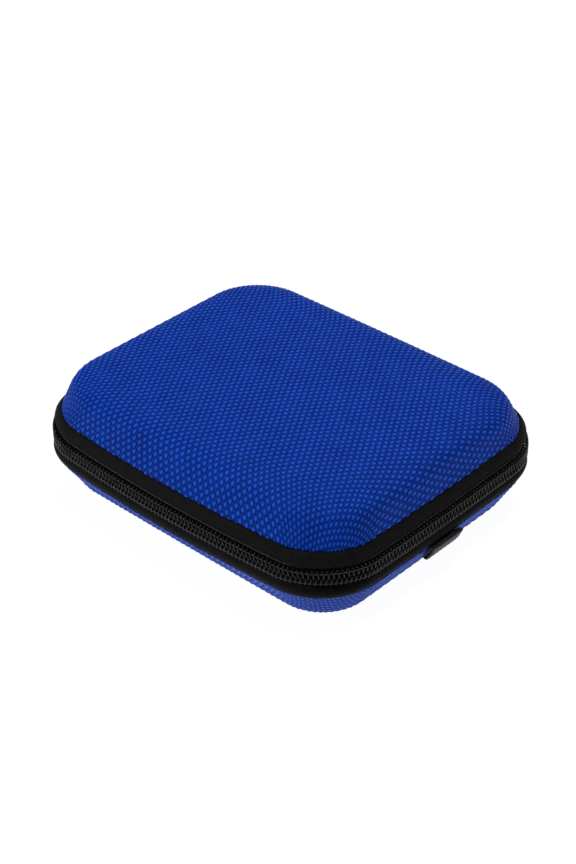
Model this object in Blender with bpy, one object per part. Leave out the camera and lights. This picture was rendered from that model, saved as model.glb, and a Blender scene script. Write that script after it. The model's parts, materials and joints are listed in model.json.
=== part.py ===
"""Zipped hard case for earphones: two moulded foam shells under ballistic nylon, joined by a coil zip.

Units are metres and +Z is up. The origin is the centre of the flat bottom, which rests on z = 0.
+X runs along the long side, and the webbing loop is on the +X end. The zip closes the front (-Y),
both ends and the back corners. The fabric hinge is in the middle of the back (+Y).

Heights called "rise" are measured away from the zip's centre plane: up in the lid, down in the base.
Insets are measured inwards from the outer face of the zip's coil.
"""
import math
from collections import namedtuple

import bmesh
import bpy
from mathutils import Vector

# Plan of the case at the outer face of the zip's coil.
HALF_LENGTH = 0.0550
HALF_WIDTH = 0.0456
CORNER_RADIUS = 0.0179
END_BULGE = 0.0010
SIDE_BULGE = 0.0031
CORNER_STEPS = 6
SIDE_STEPS = 4
RING_POINTS = 4 * (CORNER_STEPS + SIDE_STEPS)
SMALLEST_RADIUS = 0.0020

# Height of the zip's centre plane, which is also the depth of the bottom half.
ZIP_HEIGHT = 0.0170

# One shell half: where its wall starts at the seam, where the wall ends at the shoulder,
# and the rounded shoulder up to the flat panel.
Shell = namedtuple("Shell", "side rim_rise rim_inset wall_rise wall_inset_x wall_inset_y "
                            "shoulder_radius shoulder_run panel_rise crown")
LID = Shell(1, 0.0065, 0.0030, 0.0129, 0.0040, 0.0050, 0.0161, 0.0098, 0.0155, 0.0010)
BASE = Shell(-1, 0.0064, 0.0014, 0.0126, 0.0045, 0.0043, 0.0142, 0.0042, ZIP_HEIGHT, 0.0)
SHOULDER_STEPS = 4
SHOULDER_BULGE = 0.1
SHOULDER_TIGHTENING = 0.65
CROWN_SHARES = (0.7, 0.4)
SHARP_ANGLE = math.radians(35)

# Layers of the laminate, as depths from the outer face of the nylon.
CLEARANCE = 0.0003
COVER_THICKNESS = 0.0006
CORE_THICKNESS = 0.0020
LINING_THICKNESS = 0.0005
CORE_DEPTH = COVER_THICKNESS + CLEARANCE
LINING_DEPTH = CORE_DEPTH + CORE_THICKNESS + CLEARANCE
LINING_FACE = LINING_DEPTH + LINING_THICKNESS

# Zip tapes: a strip behind the coil that turns inwards under the shell's rim.
TAPE_INSET = 0.0019
TAPE_THICKNESS = 0.0008
TAPE_EDGE_RISE = 0.0012
TAPE_TUCK = 0.0007
SEAM_ALLOWANCE = 0.0039
COIL_THICKNESS = 0.0016
COIL_INNER_RISE = 0.00015
COIL_OUTER_RISE = 0.0022

# Binding sewn round the seam allowance inside each half.
BINDING_THICKNESS = 0.0005
BINDING_LEG = 0.0024
BINDING_TOP = 0.0016

# The hinge panels fill the middle of the back between the ends of the zip. Places along the
# outline are stations, counted in ring points from the +X end's back corner.
HINGE_MIDDLE = CORNER_STEPS + SIDE_STEPS / 2
HINGE_HALF_SPAN = 1.2
HINGE_START = HINGE_MIDDLE - HINGE_HALF_SPAN
HINGE_END = HINGE_MIDDLE + HINGE_HALF_SPAN
PANEL_GAP = 0.03
HINGE_EDGE_RISE = 0.00015

# Zip slider, parked at the back of the straight stretch on the -X end. Its length runs along Y.
SLIDER_Y = 0.0200
SLIDER_HALF_LENGTH = 0.0050
SLIDER_HALF_HEIGHT = 0.0043
SLIDER_PLATE = 0.0009
SLIDER_LIP = 0.0008
SLIDER_LIP_DEPTH = 0.0013
SLIDER_ROUNDING = 0.0015
SLIDER_OUTER_FACE = 0.00035
WEDGE_HALF_HEIGHT = 0.00075
WEDGE_LENGTH = 0.0030
WEDGE_OFFSET = 0.0030
COIL_SPREAD = 0.0010
SPREAD_LENGTH = 0.0070
SPREAD_OFFSETS = (-0.0070, -0.0050, -0.0020, 0.0, WEDGE_OFFSET, 0.0050, 0.0070)
INNER_PLATE_SCALE = 0.88

# Bail on the slider, and the pull that swings from it.
BAIL_HALF_LENGTH = 0.0032
BAIL_HALF_WIDTH = 0.0009
BAIL_WIRE = 0.0008
BAIL_HEIGHT = 0.0026
PIN_OFFSET = 0.0008
LINK_THICKNESS = 0.0009
LINK_HALF_WIDTH = 0.0022
LINK_EYE_HALF_WIDTH = 0.0013
LINK_EYE_LENGTH = 0.0042
LINK_LENGTH = 0.0095
TAB_START = 0.0070
TAB_LENGTH = 0.0230
TAB_HALF_WIDTH = 0.0025
TAB_THICKNESS = 0.0020
TAB_ROUNDING = 0.0018
TONGUE_GAP = 0.0001

# Webbing loop sewn into the lower seam on the +X end.
LOOP_WIDTH = 0.0118
LOOP_Y = -0.0009
LOOP_DROP = 0.0052
LOOP_THICKNESS = 0.0017
LOOP_FOLD_STEPS = 6

# Net pocket in the lid, with an elastic hem along its free front edge.
NET_RISE = 0.0058
NET_THICKNESS = 0.0006
NET_INSET = 0.0087
NET_FREE_Y = -0.0240
HEM_WIDTH = 0.0040
HEM_THICKNESS = 0.0012

Finish = namedtuple("Finish", "colour roughness metallic")
FINISHES = {
    "blue_nylon": Finish((0.010, 0.040, 0.300, 1.0), 0.62, 0.0),
    "eva_foam": Finish((0.030, 0.030, 0.032, 1.0), 0.90, 0.0),
    "lining_fabric": Finish((0.035, 0.035, 0.038, 1.0), 0.85, 0.0),
    "zip_tape": Finish((0.012, 0.012, 0.013, 1.0), 0.70, 0.0),
    "zip_coil": Finish((0.015, 0.015, 0.016, 1.0), 0.35, 0.0),
    "binding_tape": Finish((0.014, 0.014, 0.015, 1.0), 0.75, 0.0),
    "webbing": Finish((0.016, 0.016, 0.017, 1.0), 0.65, 0.0),
    "pocket_net": Finish((0.020, 0.020, 0.022, 1.0), 0.80, 0.0),
    "elastic": Finish((0.022, 0.022, 0.024, 1.0), 0.75, 0.0),
    "slider_metal": Finish((0.040, 0.040, 0.042, 1.0), 0.30, 0.9),
    "pull_rubber": Finish((0.016, 0.016, 0.017, 1.0), 0.55, 0.0),
}


def clear_scene():
    """Remove every object that the file opened with."""
    for item in list(bpy.data.objects):
        bpy.data.objects.remove(item)


def finish_material(name):
    """Return the material of one finish, making it on first use."""
    found = bpy.data.materials.get(name)
    if found:
        return found
    material = bpy.data.materials.new(name)
    material.use_nodes = True
    shader = material.node_tree.nodes["Principled BSDF"]
    finish = FINISHES[name]
    shader.inputs["Base Color"].default_value = finish.colour
    shader.inputs["Roughness"].default_value = finish.roughness
    shader.inputs["Metallic"].default_value = finish.metallic
    return material


def add_object(name, bm, finish, parent=None):
    """Turn a bmesh into a named object, shaded smooth, with its origin on its parent's."""
    bmesh.ops.recalc_face_normals(bm, faces=bm.faces)
    mesh = bpy.data.meshes.new(name)
    bm.to_mesh(mesh)
    bm.free()
    mesh.shade_smooth()
    mesh.set_sharp_from_angle(angle=SHARP_ANGLE)
    mesh.materials.append(finish_material(finish))
    item = bpy.data.objects.new(name, mesh)
    bpy.context.scene.collection.objects.link(item)
    if parent:
        item.parent = parent
    return item


def add_pivot(name, location, parent=None):
    """Add an empty on a joint's axis."""
    pivot = bpy.data.objects.new(name, None)
    bpy.context.scene.collection.objects.link(pivot)
    pivot.parent = parent
    pivot.location = location
    return pivot


# Plan outlines -----------------------------------------------------------------------------

def bulged(x, y, half_x, half_y, bulge):
    """Push a point of the outline outwards where the sides of the case belly."""
    across, along = x / half_x, y / half_y
    x += math.copysign(bulge * END_BULGE * (1 - along ** 2) * abs(across) ** 3, x)
    y += math.copysign(bulge * SIDE_BULGE * (1 - across ** 2) * abs(along) ** 3, y)
    return x, y


def outline(inset_x, inset_y, radius, bulge=1.0):
    """Rounded rectangle with bellied sides, counter-clockwise from the +X end's back corner."""
    half_x, half_y = HALF_LENGTH - inset_x, HALF_WIDTH - inset_y
    radius = max(radius, SMALLEST_RADIUS)
    centre_x, centre_y = half_x - radius, half_y - radius
    corners = []
    for quarter, (sign_x, sign_y) in enumerate(((1, 1), (-1, 1), (-1, -1), (1, -1))):
        corner = []
        for step in range(CORNER_STEPS + 1):
            angle = (quarter + step / CORNER_STEPS) * math.pi / 2
            corner.append((sign_x * centre_x + radius * math.cos(angle),
                           sign_y * centre_y + radius * math.sin(angle)))
        corners.append(corner)
    points = []
    for quarter, corner in enumerate(corners):
        points += corner
        start, end = corner[-1], corners[(quarter + 1) % 4][0]
        for step in range(1, SIDE_STEPS):
            share = step / SIDE_STEPS
            points.append((start[0] + (end[0] - start[0]) * share,
                           start[1] + (end[1] - start[1]) * share))
    return [bulged(x, y, half_x, half_y, bulge) for x, y in points]


def point_on(ring, station):
    """Point of a ring at a station, counted in ring points and wrapping round."""
    first = math.floor(station)
    share = station - first
    x0, y0 = ring[first % RING_POINTS]
    x1, y1 = ring[(first + 1) % RING_POINTS]
    return x0 + (x1 - x0) * share, y0 + (y1 - y0) * share


def stations_between(start, end):
    """The two ends, and every whole ring point between them."""
    inner = range(math.floor(start) + 1, math.ceil(end))
    return [start, *inner, end]


# Lofting -----------------------------------------------------------------------------------

def bridge_rings(bm, rings, closed_round=True):
    """Skin a list of vertex rings in order."""
    for ring_a, ring_b in zip(rings, rings[1:]):
        count = len(ring_a)
        for i in range(count if closed_round else count - 1):
            j = (i + 1) % count
            bm.faces.new((ring_a[i], ring_a[j], ring_b[j], ring_b[i]))


def loft(sections, closed_along=False):
    """Solid through a list of closed sections of 3-D points, capped unless it closes on itself."""
    bm = bmesh.new()
    rings = [[bm.verts.new(point) for point in section] for section in sections]
    if closed_along:
        bridge_rings(bm, rings + rings[:1])
        return bm
    bridge_rings(bm, rings)
    bm.faces.new(rings[0])
    bm.faces.new(rings[-1])
    return bm


def height(shell, rise):
    """World height of a rise in one half."""
    return ZIP_HEIGHT + shell.side * rise


def sweep(shell, rails, stations=None, lift=None):
    """Carry a section round the case. A rail is one corner of the section: (ring, rise)."""
    closed = stations is None
    if closed:
        stations = range(RING_POINTS)
    sections = []
    for station in stations:
        section = []
        for ring, rise in rails:
            x, y = point_on(ring, station)
            extra = lift(x, y) if lift else 0.0
            section.append(Vector((x, y, height(shell, rise + extra))))
        sections.append(section)
    return loft(sections, closed_along=closed)


# Shell layers ------------------------------------------------------------------------------

def wall_ring(shell, depth, rise):
    """Outline of the shell's wall at a rise, a depth under its outer face, upright below the rim."""
    share = max(0.0, (rise - shell.rim_rise) / (shell.wall_rise - shell.rim_rise))
    inset_x = shell.rim_inset + (shell.wall_inset_x - shell.rim_inset) * share + depth
    inset_y = shell.rim_inset + (shell.wall_inset_y - shell.rim_inset) * share + depth
    seam_radius = CORNER_RADIUS - shell.rim_inset
    radius = seam_radius + (shell.shoulder_radius - seam_radius) * share - depth
    return outline(inset_x, inset_y, radius, 1 - (1 - SHOULDER_BULGE) * share)


def shoulder_run(shell, wall_inset, share):
    """How far the shoulder has run inwards at a share of its quarter turn, leaving along the wall."""
    lean = (wall_inset - shell.rim_inset) / (shell.wall_rise - shell.rim_rise)
    first = lean * (shell.panel_rise - shell.wall_rise) * math.pi / 2 / shell.shoulder_run
    last = math.pi / 2
    eased = (first * share + (3 - 2 * first - last) * share ** 2
             + (first + last - 2) * share ** 3)
    return shell.shoulder_run * eased


def shoulder_ring(shell, depth, share):
    """Outline and rise on the rounded shoulder, from the wall at share 0 to the panel at share 1."""
    angle = share * math.pi / 2
    sunk = depth * math.cos(angle)
    tightening = SHOULDER_TIGHTENING * shell.shoulder_run * (1 - math.cos(angle))
    ring = outline(shell.wall_inset_x + shoulder_run(shell, shell.wall_inset_x, share) + sunk,
                   shell.wall_inset_y + shoulder_run(shell, shell.wall_inset_y, share) + sunk,
                   shell.shoulder_radius - tightening - sunk, SHOULDER_BULGE)
    rise = shell.wall_rise + (shell.panel_rise - shell.wall_rise) * math.sin(angle)
    return ring, rise - depth * math.sin(angle)


def shell_face(shell, depth):
    """Sections of one face of the laminate, from the rim to the middle of the panel."""
    middle_rise = (shell.rim_rise + shell.wall_rise) / 2
    sections = [(wall_ring(shell, depth, rise), rise) for rise in (shell.rim_rise, middle_rise)]
    for step in range(SHOULDER_STEPS + 1):
        sections.append(shoulder_ring(shell, depth, step / SHOULDER_STEPS))
    if shell.crown:
        edge, edge_rise = sections[-1]
        for share in CROWN_SHARES:
            ring = [(x * share, y * share) for x, y in edge]
            sections.append((ring, edge_rise + shell.crown * (1 - share ** 2)))
    return [[Vector((x, y, height(shell, rise))) for x, y in ring] for ring, rise in sections]


def add_layer(name, shell, depth, thickness, finish, parent):
    """One cup-shaped layer of a shell: its outer face, its rim and its inner face."""
    outer = shell_face(shell, depth)
    inner = shell_face(shell, depth + thickness)
    return add_object(name, loft(outer[::-1] + inner), finish, parent)


# Seam parts --------------------------------------------------------------------------------

def inset_ring(inset):
    """Outline parallel to the coil's outer face."""
    return outline(inset, inset, CORNER_RADIUS - inset)


def seam_section(shell, edge_rise):
    """L-shaped section: a strip beside the zip, turned inwards under the shell's rim."""
    top = shell.rim_rise - CLEARANCE
    crease = shell.rim_inset - CLEARANCE
    return [(inset_ring(TAPE_INSET), edge_rise), (inset_ring(crease), top),
            (inset_ring(crease + SEAM_ALLOWANCE), top),
            (inset_ring(crease + SEAM_ALLOWANCE), top - TAPE_TUCK),
            (inset_ring(crease + TAPE_THICKNESS), top - TAPE_TUCK),
            (inset_ring(TAPE_INSET + TAPE_THICKNESS), edge_rise)]


def zip_stations():
    """The zip runs from one end of the hinge panel, round the case, to the other."""
    return stations_between(HINGE_END + PANEL_GAP, HINGE_START + RING_POINTS - PANEL_GAP)


def coil_stations():
    """The zip's stations, with more of them where the slider parts the coils."""
    side_start = 2 * CORNER_STEPS + SIDE_STEPS
    side_length = 2 * (HALF_WIDTH - CORNER_RADIUS)
    near_slider = []
    for offset in SPREAD_OFFSETS:
        share = (side_length / 2 - SLIDER_Y - offset) / side_length
        near_slider.append(side_start + SIDE_STEPS * share)
    near_slider = [station for station in near_slider if station > side_start]
    return sorted(set(zip_stations() + near_slider))


def coil_lift(x, y):
    """How far the slider's wedge parts a coil, as a smooth hump along Y on the -X end."""
    away = abs(y - SLIDER_Y - WEDGE_OFFSET)
    if x > 0 or away > SPREAD_LENGTH:
        return 0.0
    flat = WEDGE_LENGTH / 2 + CLEARANCE
    share = max(0.0, away - flat) / (SPREAD_LENGTH - flat)
    return COIL_SPREAD * (1 + math.cos(math.pi * share)) / 2


def add_tape(name, shell, parent):
    """Zip tape with its turned seam allowance."""
    section = seam_section(shell, TAPE_EDGE_RISE)
    return add_object(name, sweep(shell, section, zip_stations()), "zip_tape", parent)


def add_coil(name, shell, parent):
    """Half of the zip's coil chain, as a bar of its outer size."""
    outer, inner = inset_ring(0.0), inset_ring(COIL_THICKNESS)
    section = [(outer, COIL_INNER_RISE), (outer, COIL_OUTER_RISE),
               (inner, COIL_OUTER_RISE), (inner, COIL_INNER_RISE)]
    return add_object(name, sweep(shell, section, coil_stations(), coil_lift), "zip_coil", parent)


def add_hinge_panel(name, shell, parent):
    """Half of the fabric hinge, which fills the back between the ends of the zip."""
    section = seam_section(shell, HINGE_EDGE_RISE)
    stations = stations_between(HINGE_START, HINGE_END)
    return add_object(name, sweep(shell, section, stations), "binding_tape", parent)


def add_binding(name, shell, parent):
    """Binding folded round the seam allowance, along the inside of the lining's rim."""
    face = LINING_FACE + CLEARANCE
    under = shell.rim_rise - CLEARANCE - TAPE_TUCK - CLEARANCE
    low = under - BINDING_THICKNESS
    high = shell.rim_rise + BINDING_TOP
    section = [(wall_ring(shell, face - BINDING_LEG, low), low),
               (wall_ring(shell, face + BINDING_THICKNESS, low), low),
               (wall_ring(shell, face + BINDING_THICKNESS, high), high),
               (wall_ring(shell, face, high), high),
               (wall_ring(shell, face, shell.rim_rise), shell.rim_rise),
               (wall_ring(shell, face, under), under),
               (wall_ring(shell, face - BINDING_LEG, under), under)]
    return add_object(name, sweep(shell, section), "binding_tape", parent)


def add_webbing_loop(parent):
    """Short strap folded flat in half, hanging from the lower seam against the bottom shell."""
    end_face = HALF_LENGTH + END_BULGE
    straightening = (1 - SHOULDER_BULGE) * END_BULGE
    down = Vector((BASE.wall_inset_x - BASE.rim_inset + straightening,
                   BASE.wall_rise - BASE.rim_rise)).normalized()
    outward = Vector((-down.y, down.x))
    half = LOOP_THICKNESS / 2
    top = Vector((BASE.rim_inset, BASE.rim_rise + CLEARANCE / 2)) + outward * (CLEARANCE + half)
    fold = top + down * (LOOP_DROP - half)
    profile = [top - outward * half, top + outward * half]
    for step in range(LOOP_FOLD_STEPS + 1):
        angle = math.pi * step / LOOP_FOLD_STEPS
        profile.append(fold + (outward * math.cos(angle) + down * math.sin(angle)) * half)
    sections = []
    for y in (LOOP_Y - LOOP_WIDTH / 2, LOOP_Y + LOOP_WIDTH / 2):
        sections.append([Vector((end_face - inset, y, height(BASE, rise))) for inset, rise in profile])
    return add_object("webbing_loop", loft(sections), "webbing", parent)


# Net pocket --------------------------------------------------------------------------------

def add_pocket_net(parent):
    """Net across the lid, sewn under the binding on three sides and free along the front."""
    ring = [(x, y) for x, y in inset_ring(NET_INSET) if y > NET_FREE_Y]
    first = min(range(len(ring)), key=lambda i: ring[i][1] if ring[i][0] > 0 else 1.0)
    ring = ring[first:] + ring[:first]
    ring = [(ring[0][0], NET_FREE_Y), *ring, (ring[-1][0], NET_FREE_Y)]
    sections = []
    for rise in (NET_RISE, NET_RISE + NET_THICKNESS):
        sections.append([Vector((x, y, height(LID, rise))) for x, y in ring])
    return add_object("pocket_net", loft(sections), "pocket_net", parent)


def box(low, high):
    """Box between two corners, as a bmesh."""
    bm = bmesh.new()
    made = bmesh.ops.create_cube(bm, size=1.0)
    size = Vector(high) - Vector(low)
    centre = (Vector(high) + Vector(low)) / 2
    bmesh.ops.scale(bm, vec=size, verts=made["verts"])
    bmesh.ops.translate(bm, vec=centre, verts=made["verts"])
    return bm


def add_pocket_elastic(parent):
    """Elastic hem along the net's free edge."""
    reach = HALF_LENGTH - NET_INSET
    middle = height(LID, NET_RISE + NET_THICKNESS / 2)
    edge = NET_FREE_Y - CLEARANCE
    bm = box((-reach, edge - HEM_WIDTH, middle - HEM_THICKNESS / 2),
             (reach, edge, middle + HEM_THICKNESS / 2))
    return add_object("pocket_elastic", bm, "elastic", parent)


# Slider and pull ---------------------------------------------------------------------------

SLIDER_FACE_X = -(HALF_LENGTH + END_BULGE + SLIDER_OUTER_FACE)
SLIDER_OUTSIDE_X = SLIDER_FACE_X - SLIDER_PLATE
INNER_PLATE_X = -(HALF_LENGTH - TAPE_INSET - TAPE_THICKNESS) + 2 * CLEARANCE
PULL_PIVOT = Vector((SLIDER_OUTSIDE_X - PIN_OFFSET, SLIDER_Y, ZIP_HEIGHT))
ROUNDING_STEPS = 4


def rounded_plate(x_low, x_high, half_y, half_z, radius, y_middle=0.0):
    """Plate with rounded corners, standing in the YZ plane."""
    corner_y, corner_z = half_y - radius, half_z - radius
    profile = []
    for quarter, (sign_y, sign_z) in enumerate(((1, 1), (-1, 1), (-1, -1), (1, -1))):
        for step in range(ROUNDING_STEPS + 1):
            angle = (quarter + step / ROUNDING_STEPS) * math.pi / 2
            profile.append((y_middle + sign_y * corner_y + radius * math.cos(angle),
                            sign_z * corner_z + radius * math.sin(angle)))
    return loft([[Vector((x, y, z)) for y, z in profile] for x in (x_low, x_high)])


def join_to(target, bm, name):
    """Union a hidden helper solid with a piece."""
    helper = add_object(name, bm, "slider_metal", target.parent)
    helper.hide_render = True
    helper.display_type = 'WIRE'
    union = target.modifiers.new(name, 'BOOLEAN')
    union.operation = 'UNION'
    union.solver = 'EXACT'
    union.object = helper


def add_slider_body(pivot):
    """Outer plate with two lips, a wedge between the coils, and an inner plate behind the tapes."""
    at_x = pivot.location.x
    face, outside = SLIDER_FACE_X - at_x, SLIDER_OUTSIDE_X - at_x
    inner = INNER_PLATE_X - at_x
    body = add_object("slider_body", rounded_plate(outside, face, SLIDER_HALF_LENGTH,
                                                   SLIDER_HALF_HEIGHT, SLIDER_ROUNDING), "slider_metal", pivot)
    lip_reach = SLIDER_HALF_LENGTH - SLIDER_ROUNDING
    for sign, label in ((1, "upper"), (-1, "lower")):
        near, far = sorted((sign * (SLIDER_HALF_HEIGHT - SLIDER_LIP), sign * SLIDER_HALF_HEIGHT))
        lip = box((outside + SLIDER_PLATE / 2, -lip_reach, near),
                  (face + SLIDER_LIP_DEPTH, lip_reach, far))
        join_to(body, lip, f"{label}_lip_helper")
    wedge = box((outside + SLIDER_PLATE / 2, WEDGE_OFFSET - WEDGE_LENGTH / 2, -WEDGE_HALF_HEIGHT),
                (inner + SLIDER_PLATE / 2, WEDGE_OFFSET + WEDGE_LENGTH / 2, WEDGE_HALF_HEIGHT))
    join_to(body, wedge, "wedge_helper")
    back = rounded_plate(inner, inner + SLIDER_PLATE, SLIDER_HALF_LENGTH * INNER_PLATE_SCALE,
                         SLIDER_HALF_HEIGHT * INNER_PLATE_SCALE, SLIDER_ROUNDING)
    join_to(body, back, "inner_plate_helper")
    return body


def add_slider_bail(pivot):
    """Flat arch on the slider's outer plate, which holds the pull."""
    foot = SLIDER_OUTSIDE_X - CLEARANCE - pivot.location.x
    top = SLIDER_OUTSIDE_X - BAIL_HEIGHT - pivot.location.x
    y, wire, bend = BAIL_HALF_LENGTH, BAIL_WIRE, BAIL_WIRE
    arch = [(foot, -y), (top + bend, -y), (top, -y + bend), (top, y - bend), (top + bend, y), (foot, y),
            (foot, y - wire), (top + wire + bend / 2, y - wire), (top + wire, y - wire - bend / 2),
            (top + wire, -y + wire + bend / 2), (top + wire + bend / 2, -y + wire), (foot, -y + wire)]
    sections = [[Vector((x, along, z)) for x, along in arch]
                for z in (-BAIL_HALF_WIDTH, BAIL_HALF_WIDTH)]
    return add_object("slider_bail", loft(sections), "slider_metal", pivot)


def add_pull_link(pivot):
    """Metal link: an eye with its pin under the bail, and a tongue that carries the tab."""
    half_x = LINK_THICKNESS / 2
    pin = LINK_THICKNESS / 2
    wide, eye = LINK_HALF_WIDTH, LINK_EYE_HALF_WIDTH
    link = add_object("pull_link", box((-half_x, -LINK_LENGTH, -wide), (half_x, pin, wide)),
                      "slider_metal", pivot)
    hole = add_object("eye_helper", box((-2 * half_x, -LINK_EYE_LENGTH, -eye),
                                        (2 * half_x, -pin, eye)), "slider_metal", pivot)
    hole.hide_render = True
    hole.display_type = 'WIRE'
    cut = link.modifiers.new("eye", 'BOOLEAN')
    cut.operation = 'DIFFERENCE'
    cut.solver = 'EXACT'
    cut.object = hole
    return link


def add_pull_tab(pivot):
    """Moulded tab beyond the link's tongue."""
    middle = -(TAB_START + TAB_LENGTH / 2)
    bm = rounded_plate(-TAB_THICKNESS / 2, TAB_THICKNESS / 2, TAB_LENGTH / 2, TAB_HALF_WIDTH,
                       TAB_ROUNDING, middle)
    tab = add_object("pull_tab", bm, "pull_rubber", pivot)
    half_x = LINK_THICKNESS / 2 + CLEARANCE
    half_z = LINK_HALF_WIDTH + TONGUE_GAP
    pocket = add_object("tongue_helper", box((-half_x, -LINK_LENGTH - CLEARANCE, -half_z),
                                             (half_x, 0.0, half_z)), "pull_rubber", pivot)
    pocket.hide_render = True
    pocket.display_type = 'WIRE'
    cut = tab.modifiers.new("tongue_pocket", 'BOOLEAN')
    cut.operation = 'DIFFERENCE'
    cut.solver = 'EXACT'
    cut.object = pocket
    return tab


# Assembly ----------------------------------------------------------------------------------

def add_half(shell, names, parent):
    """The laminate, tape, coil, binding and hinge panel of one half."""
    add_layer(f"{names[0]}_shell_cover", shell, 0.0, COVER_THICKNESS, "blue_nylon", parent)
    add_layer(f"{names[0]}_shell_core", shell, CORE_DEPTH, CORE_THICKNESS, "eva_foam", parent)
    add_layer(f"{names[0]}_lining", shell, LINING_DEPTH, LINING_THICKNESS, "lining_fabric", parent)
    add_tape(f"{names[1]}_zip_tape", shell, parent)
    add_coil(f"{names[1]}_zip_coil", shell, parent)
    add_binding(f"{names[1]}_binding", shell, parent)
    add_hinge_panel(f"{names[1]}_hinge_panel", shell, parent)


def build_case():
    """Make the base, the lid, the slider and its pull."""
    add_half(BASE, ("bottom", "lower"), None)
    add_webbing_loop(None)
    add_half(LID, ("top", "upper"), None)
    add_pocket_net(None)
    add_pocket_elastic(None)
    slider = add_pivot("slider_pivot", (SLIDER_FACE_X, SLIDER_Y, ZIP_HEIGHT))
    add_slider_body(slider)
    add_slider_bail(slider)
    pull = add_pivot("pull_pivot", PULL_PIVOT - slider.location, slider)
    add_pull_link(pull)
    add_pull_tab(pull)


clear_scene()
build_case()
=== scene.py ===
"""Looks of the zipped earphone case: weave, zip, webbing, linings, net, slider, light and camera."""

import json
import math
from collections import namedtuple

import bmesh
import bpy
import numpy as np
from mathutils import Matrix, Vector
from mathutils.bvhtree import BVHTree


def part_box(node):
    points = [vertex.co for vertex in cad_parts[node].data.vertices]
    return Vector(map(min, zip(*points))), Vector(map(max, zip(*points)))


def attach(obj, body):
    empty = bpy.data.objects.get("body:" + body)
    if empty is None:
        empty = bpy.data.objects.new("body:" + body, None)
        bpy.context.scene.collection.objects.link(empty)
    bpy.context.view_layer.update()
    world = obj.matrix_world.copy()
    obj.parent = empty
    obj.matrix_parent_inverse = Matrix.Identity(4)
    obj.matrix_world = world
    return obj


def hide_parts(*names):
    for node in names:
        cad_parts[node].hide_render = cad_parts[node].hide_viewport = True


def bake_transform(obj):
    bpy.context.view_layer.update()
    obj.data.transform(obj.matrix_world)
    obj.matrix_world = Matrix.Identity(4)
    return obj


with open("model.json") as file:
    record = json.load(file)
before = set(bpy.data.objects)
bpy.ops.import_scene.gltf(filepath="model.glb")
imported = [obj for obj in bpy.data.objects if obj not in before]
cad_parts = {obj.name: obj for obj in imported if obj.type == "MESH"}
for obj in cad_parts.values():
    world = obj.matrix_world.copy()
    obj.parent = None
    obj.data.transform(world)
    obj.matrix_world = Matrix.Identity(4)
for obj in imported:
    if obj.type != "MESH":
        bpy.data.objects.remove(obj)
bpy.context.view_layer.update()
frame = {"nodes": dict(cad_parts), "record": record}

MM = 0.001
JOINTS = {joint["name"]: joint for joint in frame["record"]["behaviour"]["joints"]}

# Plan of the case, as the CAD makes it. Insets are measured inwards from the zip coil's outer face,
# and rises away from the zip's centre plane.
END_BULGE = 1.0 * MM
SIDE_BULGE = 3.1 * MM
CORNER_RADIUS = 17.9 * MM
COIL_LOW, COIL_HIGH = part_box("lower_zip_coil")
HALF_LENGTH = COIL_HIGH.x - END_BULGE
HALF_WIDTH = -COIL_LOW.y - SIDE_BULGE
ZIP_HEIGHT = JOINTS["lid_hinge"]["pos_m"][2]
ZIP_CENTRE = Vector((0, 0, ZIP_HEIGHT))
SMALLEST_RADIUS = 2.0 * MM
CORNER_STEPS = 20
SIDE_STEPS = 24

Shell = namedtuple("Shell", "side rim_rise rim_inset wall_rise wall_inset_x wall_inset_y "
                            "shoulder_radius shoulder_run panel_rise crown")
LID = Shell(side=1, rim_rise=6.5 * MM, rim_inset=3.0 * MM,
            wall_rise=12.9 * MM, wall_inset_x=4.0 * MM, wall_inset_y=5.0 * MM,
            shoulder_radius=16.1 * MM, shoulder_run=9.8 * MM, panel_rise=15.5 * MM, crown=1.0 * MM)
BASE = Shell(side=-1, rim_rise=6.4 * MM, rim_inset=1.4 * MM,
             wall_rise=12.6 * MM, wall_inset_x=4.5 * MM, wall_inset_y=4.3 * MM,
             shoulder_radius=14.2 * MM, shoulder_run=4.2 * MM, panel_rise=ZIP_HEIGHT, crown=0.0)
SHOULDER_BULGE = 0.1
SHOULDER_TIGHTENING = 0.65
WALL_ROWS = 6
SHOULDER_ROWS = 14
PANEL_ROWS = 10

# Layers of the laminate under the nylon, as depths from its outer face.
LINING_DEPTH = 3.2 * MM
LINING_THICKNESS = 0.5 * MM
LINING_FACE = LINING_DEPTH + LINING_THICKNESS
CLEARANCE = 0.3 * MM

# The zip ends where the fabric hinge begins, at these distances from the middle of the back.
ZIP_END_X = 22.6 * MM
HINGE_END_X = 22.3 * MM

# Weave of the nylon: warp yarns run along Y and weft yarns along X, skewed a little by the moulding.
WARP_PITCH = 0.956 * MM
WEFT_PITCH = 1.41 * MM
WARP_SKEW = math.tan(math.radians(2.0))
WEFT_SKEW = math.tan(math.radians(7.0))
STEPS_PER_YARN = 3
BLANK_MARGIN_X, BLANK_MARGIN_Y = 14 * MM, 18 * MM
WARP_SWING, WARP_ROUND = 0.15, 0.20
WEFT_SWING, WEFT_ROUND = 0.06, 0.13
YARN_HALF = 0.49
RELIEF_LOW, RELIEF_HIGH = -0.05, 0.35
RELIEF_LEVEL = 0.15

# The nylon is eased over the foot of the shoulder, and turned in under the rim.
ROW_STEP = 0.6 * MM
LID_PASSES, BASE_PASSES = 10, 1
LIP_DEPTH = 0.7 * MM
LIP_RISE = 0.1 * MM
WELDED = 1e-6

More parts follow.
